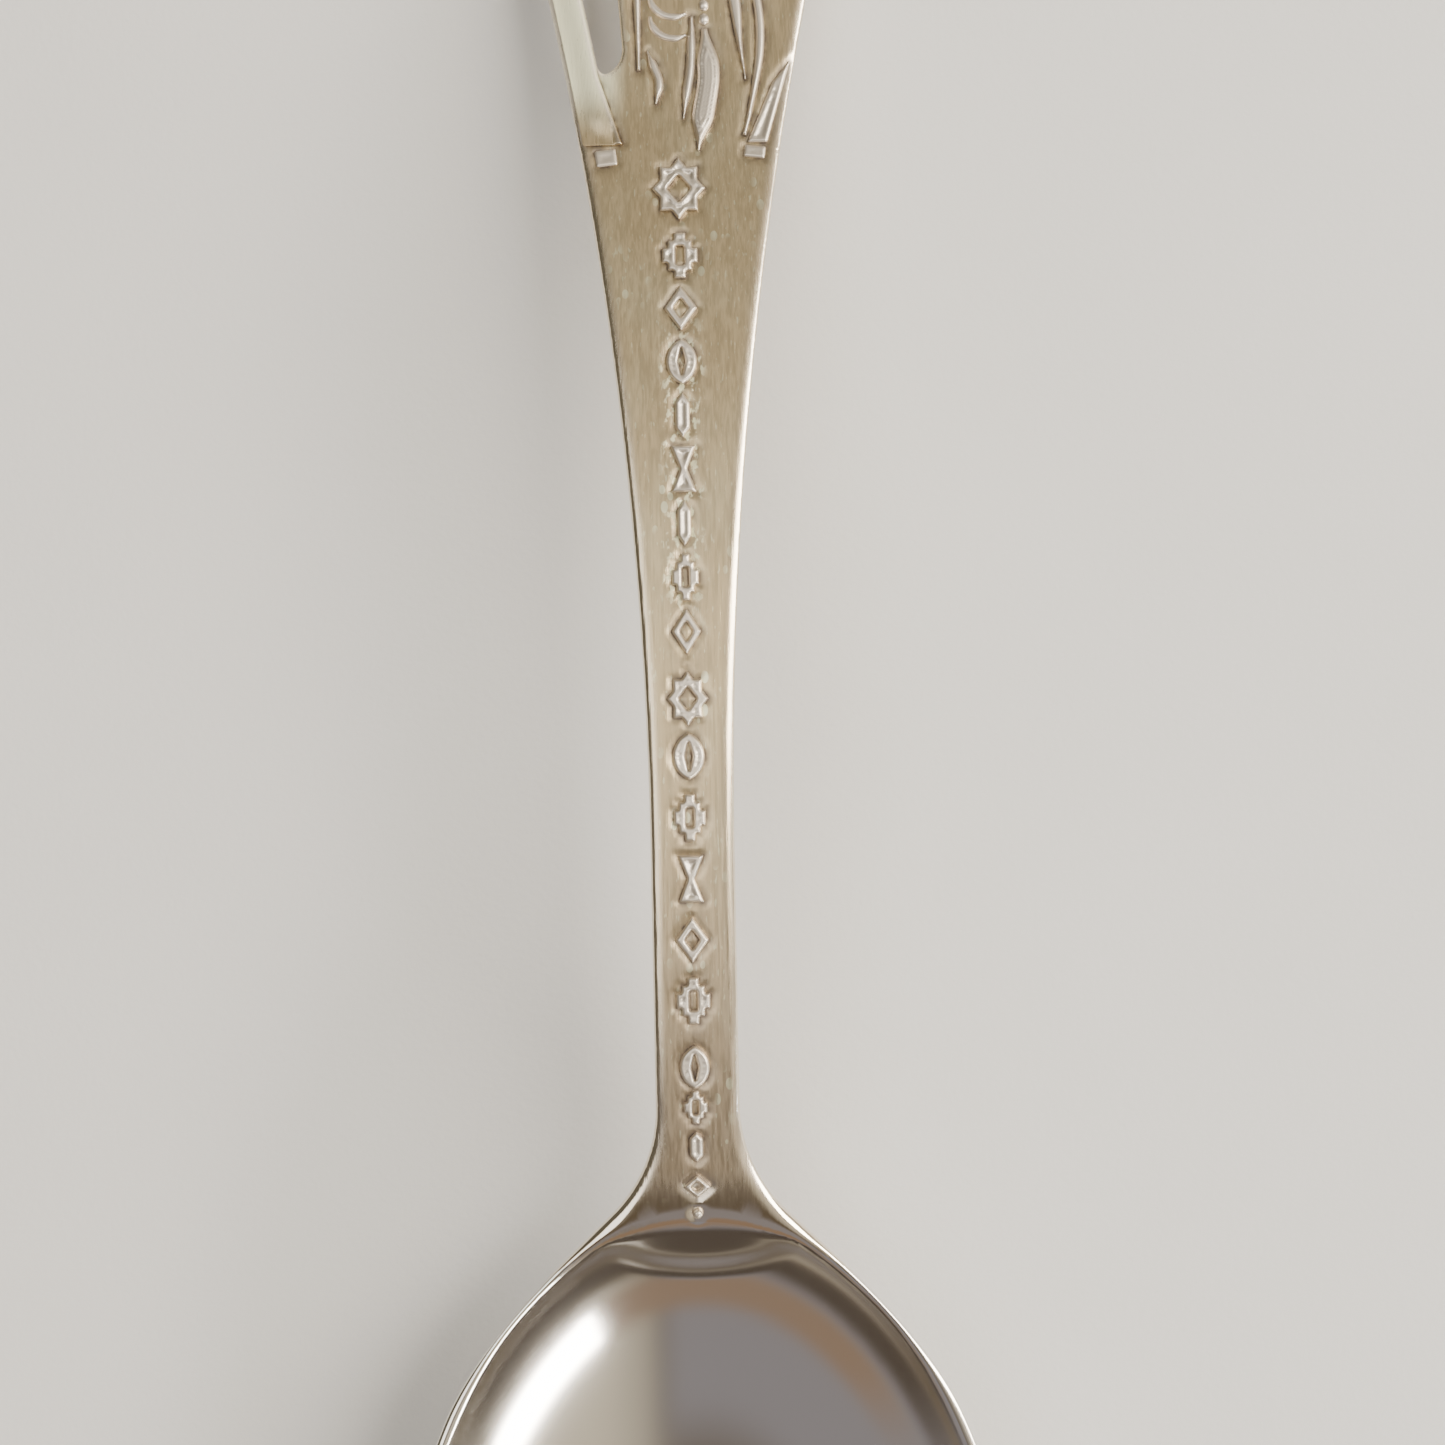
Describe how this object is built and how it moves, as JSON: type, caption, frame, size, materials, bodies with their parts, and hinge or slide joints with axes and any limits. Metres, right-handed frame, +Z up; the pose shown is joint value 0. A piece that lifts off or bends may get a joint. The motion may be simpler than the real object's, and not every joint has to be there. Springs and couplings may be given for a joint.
{
  "type": "souvenir spoon",
  "caption": "Small silver spoon with an oval bowl, an arched tapering handle with raised geometric motifs, and a pierced head with a shield, feathers and poles.",
  "frame": {"origin": "on the surface the spoon lies on, under the middle of its length and width", "axes": "+Y from the bowl towards the head, +X across to the right with the bowl's hollow upwards, +Z up"},
  "size_m": [0.032, 0.136, 0.0114],
  "materials": {
    "polished_silver": "polished silver with fine wiping scratches",
    "struck_silver": "satin silver, lengthwise brushed, warm tarnish",
    "relief_silver": "die-struck silver relief, worn bright on its tops"
  },
  "bodies": {
    "root": {"bowl": "polished_silver", "shoulder": "struck_silver", "stem": "struck_silver", "head_plate": "struck_silver", "braid_beads": "relief_silver", "broad_feather": "relief_silver", "crescent": "relief_silver", "crest_feather_1": "relief_silver", "crest_feather_2": "relief_silver", "crest_feather_3": "relief_silver", "crest_feather_4": "relief_silver", "crest_feather_5": "relief_silver", "crest_feather_6": "relief_silver", "crest_feather_7": "relief_silver", "end_bead": "relief_silver", "inner_strand": "relief_silver", "left_foot": "relief_silver", "left_pole": "relief_silver", "motif_01_sun": "relief_silver", "motif_02_steps": "relief_silver", "motif_03_open_lozenge": "relief_silver", "motif_04_leaf": "relief_silver", "motif_05_spindle": "relief_silver", "motif_06_hourglass": "relief_silver", "motif_07_spindle": "relief_silver", "motif_08_steps": "relief_silver", "motif_09_open_lozenge": "relief_silver", "motif_10_sun": "relief_silver", "motif_11_leaf": "relief_silver", "motif_12_steps": "relief_silver", "motif_13_hourglass": "relief_silver", "motif_14_open_lozenge": "relief_silver", "motif_15_steps": "relief_silver", "motif_16_leaf": "relief_silver", "motif_17_steps": "relief_silver", "motif_18_spindle": "relief_silver", "motif_19_open_lozenge": "relief_silver", "outer_strand": "relief_silver", "right_foot": "relief_silver", "right_pole": "relief_silver", "right_rail": "relief_silver", "shield_boss": "relief_silver", "shield_pips": "relief_silver", "shield_rim": "relief_silver", "shield_ring": "relief_silver", "side_column": "relief_silver", "slim_feather": "relief_silver", "swag_1": "relief_silver", "swag_2": "relief_silver", "swag_3": "relief_silver", "swag_4": "relief_silver", "swag_5": "relief_silver", "swag_6": "relief_silver", "swag_7": "relief_silver", "swag_8": "relief_silver", "swag_9": "relief_silver"}
  },
  "joints": []
}
